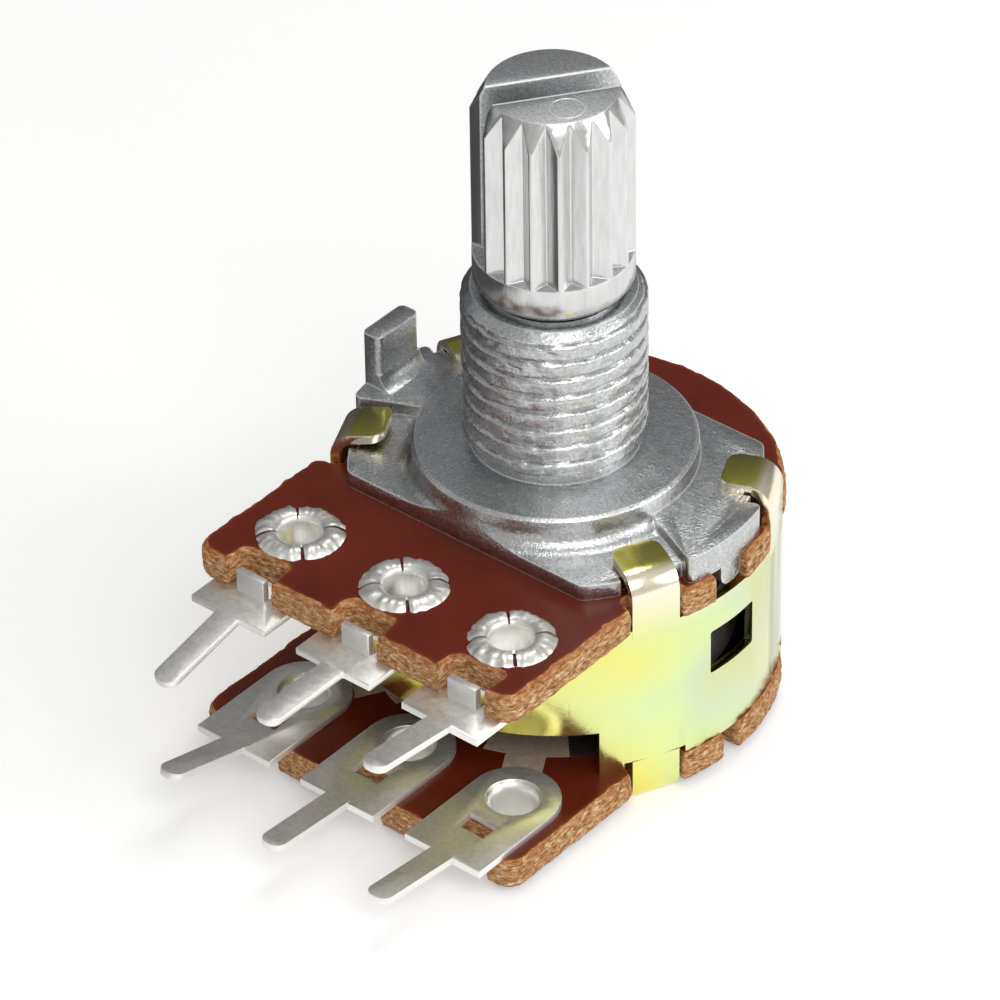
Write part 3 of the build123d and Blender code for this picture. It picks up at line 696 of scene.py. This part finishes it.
def thread_radius(point):
    """The radius of the bushing's surface at a point: worn, flattened crests on a helix, with chips."""
    low, _ = THREAD_ENDS
    spot = point * PER_MM
    turn = (atan2(point.y, point.x) - THREAD_AZIMUTH) / (2 * pi)
    phase = ((point.z - THREAD_FIRST_CREST) / THREAD_PITCH - turn) % 1
    from_crest = min(phase, 1 - phase)
    wander = sum(noise.noise(spot * fineness) * share for fineness, share in THREAD_WANDER)
    height = 1 - clamp((from_crest - wander) / 0.5) ** THREAD_FLATNESS
    chips = CHIP_DEPTH * max(noise.noise(spot * CHIP_FINENESS) - CHIP_RARITY, 0)
    chips += GRAIN_DEPTH * noise.noise(spot * GRAIN_FINENESS)
    start, length = THREAD_RUN_OUT
    run_out = clamp((point.z - low - start) / length)
    radius = THREAD_ROOT + (THREAD_CREST - THREAD_ROOT) * height * run_out - chips
    return min(radius, THREAD_CREST, THREAD_CREST - max(point.z - THREAD_CHAMFER_START, 0))


def make_bushing_thread():
    """The cast thread of the bushing, on a fine tube."""
    low, high = THREAD_ENDS
    bpy.ops.object.select_all(action="DESELECT")
    bpy.ops.mesh.primitive_cylinder_add(
        vertices=THREAD_SIDES,
        radius=THREAD_ROOT,
        depth=high - low,
        end_fill_type="NOTHING",
        location=(0, 0, (low + high) / 2),
    )
    thread = bpy.context.object
    thread.name = "bushing_thread"
    bpy.ops.object.transform_apply(location=True, rotation=True, scale=True)
    start_edit(thread, "EDGE")
    select_where(thread, "edges", lambda e: abs(edge_vector(thread, e).z) > 1 * MM)
    bpy.ops.mesh.subdivide(number_cuts=THREAD_CUTS)
    bpy.ops.object.mode_set(mode="OBJECT")
    for vertex in thread.data.vertices:
        azimuth = atan2(vertex.co.y, vertex.co.x)
        radius = thread_radius(vertex.co)
        vertex.co.x, vertex.co.y = radius * cos(azimuth), radius * sin(azimuth)
    shade_smooth(thread, 50)
    finish_piece(thread, "zinc_casting", "housing")


def board_wear(spot, depth, lip):
    """How far the cut edge of a board lies back, in millimetres, at a point and a share of the depth."""
    outline = Vector((spot.x * RAGGED_COARSE, spot.y * RAGGED_COARSE, 0))
    ragged = 0.5 + noise.noise(outline) + 0.6 * noise.noise(spot * RAGGED_FINE)
    rounded = lip * max(0, 1 - depth / LIP_DEPTH) ** 2 * (0.5 + 0.6 * max(ragged, 0))
    under = HEEL * max(0, (depth - (1 - HEEL_DEPTH)) / HEEL_DEPTH) ** 2
    layered = Vector((spot.x * FIBRE_ALONG, spot.y * FIBRE_ALONG, spot.z * FIBRE_THROUGH))
    fibre = CUT_DEPTH + FIBRE_DEPTH * noise.noise(layered)
    fibre += FUZZ_DEPTH * noise.noise(spot * FIBRE_THROUGH)
    return rounded + under + max(fibre, 0)


def make_board(node, name, lip):
    """A punched laminate board whose cut edge is fibrous, layered and rounded at the face."""
    low, high = (corner[2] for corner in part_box(node))
    board = copy_node(node, name)
    start_edit(board, "FACE")
    select_where(board, "polygons", lambda f: f.normal.z > 0.9)
    bpy.ops.mesh.region_to_loop()
    bpy.ops.mesh.select_all(action="INVERT")
    bpy.ops.mesh.delete(type="EDGE")
    for _ in range(BOARD_EDGE_PASSES):
        bpy.ops.mesh.select_mode(type="EDGE")
        select_where(board, "edges", lambda e: edge_vector(board, e).length > BOARD_EDGE_STEP)
        bpy.ops.mesh.subdivide(number_cuts=1)
    bpy.ops.mesh.select_all(action="SELECT")
    bpy.ops.mesh.vertices_smooth(factor=0.5, repeat=2)
    for _ in range(BOARD_ROWS):
        bpy.ops.mesh.extrude_region_move(
            TRANSFORM_OT_translate={"value": (0, 0, (low - high) / BOARD_ROWS)}
        )
    for level in (high, low):
        bpy.ops.mesh.select_mode(type="VERT")
        select_where(board, "vertices", lambda v: abs(v.co.z - level) < 0.001 * MM)
        bpy.ops.mesh.fill()
    face_outwards()
    outward = [Vector((v.normal.x, v.normal.y, 0)).normalized() for v in board.data.vertices]
    for vertex, normal in zip(board.data.vertices, outward):
        depth = (high - vertex.co.z) / (high - low)
        vertex.co -= normal * board_wear(vertex.co * PER_MM, depth, lip) * MM
    shade_smooth(board, 26)
    for face in board.data.polygons:
        face.use_smooth = face.use_smooth and abs(face.normal.z) < 0.99
    finish_piece(board, "wafer_laminate", "housing", node)


def around(azimuth, fineness, height):
    """A point on a circle, to take noise from."""
    return Vector((cos(azimuth) * fineness, sin(azimuth) * fineness, height))


def petal_point(azimuth, radius, height, seed):
    """The radius and height of a petal at a point of its smooth form, and whether a slit is there."""
    turn = (azimuth - QUARTER / 2) % QUARTER
    beside = min(turn, QUARTER - turn) * radius
    reach = clamp((radius - PETAL_BEND) / PETAL_BEND) * (height > SLIT_FOOT)
    wave = noise.noise(around(azimuth, WAVES, 0) + seed)
    ripple = noise.noise(around(azimuth, RIPPLES, radius * 2.5) + seed)
    curl = exp(-beside / CURL_WIDTH) * reach
    radius += reach * (WAVE_OUT * wave + RIPPLE_OUT * ripple) - CURL_IN * curl
    height += reach * (RIPPLE_UP * ripple + WAVE_UP * wave) - CURL_DOWN * curl * (height > 0)
    slit = SLIT_WIDTH + SLIT_WIDENING * reach + RIPPLE_OUT * ripple
    return radius, height, beside < slit and height > SLIT_FOOT


def make_petals(place, face_level, outward):
    """The rolled end of a drawn eyelet: four wrinkled petals split by slits, on a board's outer face."""
    bpy.ops.object.select_all(action="DESELECT")
    first_radius = PETAL_ROWS[0][0] * MM
    bpy.ops.mesh.primitive_circle_add(vertices=PETAL_SIDES, radius=first_radius, location=(0, 0, 0))
    petals = bpy.context.object
    bpy.ops.object.mode_set(mode="EDIT")
    bpy.ops.mesh.select_mode(type="VERT")
    bpy.ops.mesh.select_all(action="SELECT")
    for (radius, _), (wider, _) in zip(PETAL_ROWS, PETAL_ROWS[1:]):
        grow = wider / radius
        bpy.ops.mesh.extrude_region_move(TRANSFORM_OT_translate={"value": (0, 0, ROW_STEP)})
        bpy.ops.transform.resize(value=(grow, grow, 1), center_override=(0, 0, 0))
    bpy.ops.object.mode_set(mode="OBJECT")
    seed = Vector((place * PER_MM * 3.1, outward * 7.7, 0.4))
    in_slit = []
    for vertex in petals.data.vertices:
        azimuth = atan2(vertex.co.y, vertex.co.x)
        row = PETAL_ROWS[round(vertex.co.z / ROW_STEP)]
        radius, height, slit = petal_point(azimuth, *row, seed)
        in_slit.append(slit)
        vertex.co.x = place + radius * cos(azimuth) * MM
        vertex.co.y = -EYELET_REACH + radius * sin(azimuth) * MM
        vertex.co.z = face_level + outward * height * MM
    start_edit(petals, "FACE")
    select_where(petals, "polygons", lambda f: sum(in_slit[v] for v in f.vertices) >= 3)
    bpy.ops.mesh.delete(type="FACE")
    face_outwards()
    top_faces = [f for f in petals.data.polygons if abs(f.normal.z) > 0.7]
    if sum(f.normal.z for f in top_faces) * outward < 0:
        petals.data.flip_normals()
    apply_modifier(petals, "SOLIDIFY", thickness=PETAL_SHEET, offset=-1)
    shade_smooth(petals, 55)
    return petals


def make_terminal(node, place, outward):
    """A stamped terminal with broken edges, and its petals rolled over the board."""
    terminal = copy_node(node, node.replace("terminal", "lug"))
    face_level = BOARD_LEVELS[outward]
    start_edit(terminal, "FACE")
    select_where(terminal, "polygons", lambda f: (f.center.z - face_level) * outward > -0.005 * MM)
    bpy.ops.mesh.delete(type="FACE")
    bpy.ops.object.mode_set(mode="OBJECT")
    break_edges(terminal, STAMPED_EDGE)
    petals = make_petals(place, face_level, outward)
    choose(terminal)
    petals.select_set(True)
    bpy.ops.object.join()
    finish_piece(terminal, "tinned_terminal", "housing", node)


def make_softened(node, name, slot, body, width):
    """A CAD node whose sharp edges are broken."""
    piece = copy_node(node, name)
    break_edges(piece, width)
    finish_piece(piece, slot, body, node)


def make_end_mark():
    """The faint ring on the end of the shaft."""
    bpy.ops.object.select_all(action="DESELECT")
    bpy.ops.mesh.primitive_torus_add(
        location=(*END_MARK_PLACE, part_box("shaft")[1][2] - END_MARK_SINK),
        major_radius=END_MARK_RADIUS,
        minor_radius=END_MARK_WIRE,
        major_segments=64,
        minor_segments=10,
    )
    mark = bpy.context.object
    mark.name = "end_mark"
    bpy.ops.object.transform_apply(location=True, rotation=True, scale=True)
    bpy.ops.object.shade_smooth()
    finish_piece(mark, "shaft_metal", "rotor")


def make_pieces():
    """All the new pieces."""
    make_cast_plate()
    make_bushing_thread()
    make_board("front_wafer", "front_board", FRONT_LIP)
    make_board("rear_wafer", "rear_board", REAR_LIP)
    for number in (1, 2, 3):
        place = (number - 2) * TERMINAL_PITCH
        make_terminal(f"front_terminal_{number}", place, 1)
        make_terminal(f"rear_terminal_{number}", place, -1)
    make_softened("shaft", "split_shaft", "shaft_metal", "rotor", TURNED_EDGE)
    make_end_mark()
    make_softened("frame", "sheet_frame", "chromated_steel", "housing", STAMPED_EDGE)


# ---- Camera and studio ----

FLOOR_SIZE = 1.2
FLOOR_TONE = (0.86, 0.86, 0.86)
# Metal sees the floor darken towards -X, between these places in millimetres
FLOOR_DARK = (0.10, 0.10, 0.10)
FLOOR_FADE = (-22.0, 0.0)
# How much the floor shines for the camera and in the metal, which whitens it and lights nothing
FLOOR_GLOW = 0.30

# Square soft lamps: direction from the part, distance, size and power
LAMPS = {
    "key": ((0.75, -0.55, 0.85), 0.16, 0.08, 0.072),
    "side": ((0.95, 0.35, 0.45), 0.18, 0.09, 0.085),
    "left": ((-0.95, -0.55, 0.45), 0.18, 0.08, 0.006),
    "top": ((-0.05, 0.22, 1.0), 0.20, 0.06, 0.075),
}

# The room is pale on this side and dark on the other
ROOM_BRIGHT_SIDE = (0.80, -0.38, 0.45)
ROOM_REACH = 0.75
ROOM_DARK = (0.10, 0.103, 0.11)
ROOM_PALE = (0.62, 0.62, 0.61)
WHITE = (1.0, 1.0, 1.0)


def make_camera():
    """The camera of the photograph."""
    back = Vector(
        (
            sin(CAMERA_AZIMUTH) * cos(CAMERA_ELEVATION),
            -cos(CAMERA_AZIMUTH) * cos(CAMERA_ELEVATION),
            sin(CAMERA_ELEVATION),
        )
    )
    level_right = Vector((cos(CAMERA_AZIMUTH), sin(CAMERA_AZIMUTH), 0))
    level_up = back.cross(level_right)
    right = level_right * cos(CAMERA_ROLL) + level_up * sin(CAMERA_ROLL)
    up = level_up * cos(CAMERA_ROLL) - level_right * sin(CAMERA_ROLL)
    camera = bpy.data.objects.new("photo camera", bpy.data.cameras.new("photo camera"))
    camera.data.lens = LENS
    camera.data.sensor_width = SENSOR
    camera.data.clip_start = CAMERA_NEAR
    place = back * CAMERA_DISTANCE - right * CAMERA_AIM[0] - up * CAMERA_AIM[1]
    camera.matrix_world = Matrix.Translation(place) @ Matrix((right, up, back)).transposed().to_4x4()
    bpy.context.collection.objects.link(camera)
    bpy.context.scene.camera = camera


def make_floor():
    """A pale floor under the part, white to the camera."""
    bpy.ops.object.select_all(action="DESELECT")
    bpy.ops.mesh.primitive_plane_add(size=FLOOR_SIZE, location=(0, 0, cad_box[0][2]))
    floor = bpy.context.object
    floor.name = "floor"
    material, nodes, shader = new_material("floor", Roughness=0.9, Specular_IOR_Level=0.1)
    path = nodes.add("ShaderNodeLightPath").outputs
    in_metal = path["Is Glossy Ray"]
    faded = nodes.spread(nodes.axes(millimetre_point(nodes))["X"], *FLOOR_FADE)
    mirrored = nodes.mix(faded, FLOOR_DARK, FLOOR_TONE)
    nodes.feed(shader, Base_Color=nodes.mix(in_metal, FLOOR_TONE, mirrored))
    glow = nodes.add("ShaderNodeEmission")
    seen = nodes.math("MULTIPLY", path["Is Camera Ray"], FLOOR_GLOW)
    reflected = nodes.math("MULTIPLY", nodes.math("MULTIPLY", in_metal, faded), FLOOR_GLOW)
    nodes.link(nodes.math("ADD", seen, reflected), glow.inputs["Strength"])
    total = nodes.add("ShaderNodeAddShader")
    nodes.link(nodes.tree.nodes["Principled BSDF"].outputs[0], total.inputs[0])
    nodes.link(glow.outputs[0], total.inputs[1])
    nodes.link(total.outputs[0], nodes.tree.nodes["Material Output"].inputs["Surface"])
    floor.data.materials.append(material)


def make_softbox(name, direction, distance, size, power):
    """A square area lamp that looks at the object from a direction."""
    lamp = bpy.data.lights.new(name, "AREA")
    lamp.size = size
    lamp.energy = power
    holder = bpy.data.objects.new(name, lamp)
    towards = Vector(direction).normalized()
    aim = towards.to_track_quat("Z", "Y").to_matrix().to_4x4()
    holder.matrix_world = Matrix.Translation(towards * distance) @ aim
    bpy.context.collection.objects.link(holder)


def make_room():
    """A room that lights the part more from one side, white to the camera."""
    world = bpy.data.worlds.new("studio")
    world.use_nodes = True
    bpy.context.scene.world = world
    nodes = Nodes(world.node_tree)
    seen = nodes.add("ShaderNodeLightPath").outputs["Is Camera Ray"]
    direction = nodes.add("ShaderNodeTexCoord").outputs["Generated"]
    side = nodes.dot(direction, ROOM_BRIGHT_SIDE)
    walls = nodes.mix(nodes.spread(side, -ROOM_REACH, ROOM_REACH), ROOM_DARK, ROOM_PALE)
    background = world.node_tree.nodes["Background"].inputs
    nodes.link(nodes.mix(seen, walls, WHITE), background["Color"])
    background["Strength"].default_value = 1.0


dress_nodes()
make_pieces()
make_camera()
make_floor()
for lamp_name, lamp_settings in LAMPS.items():
    make_softbox(lamp_name, *lamp_settings)
make_room()
bpy.context.scene.view_settings.view_transform = "Standard"
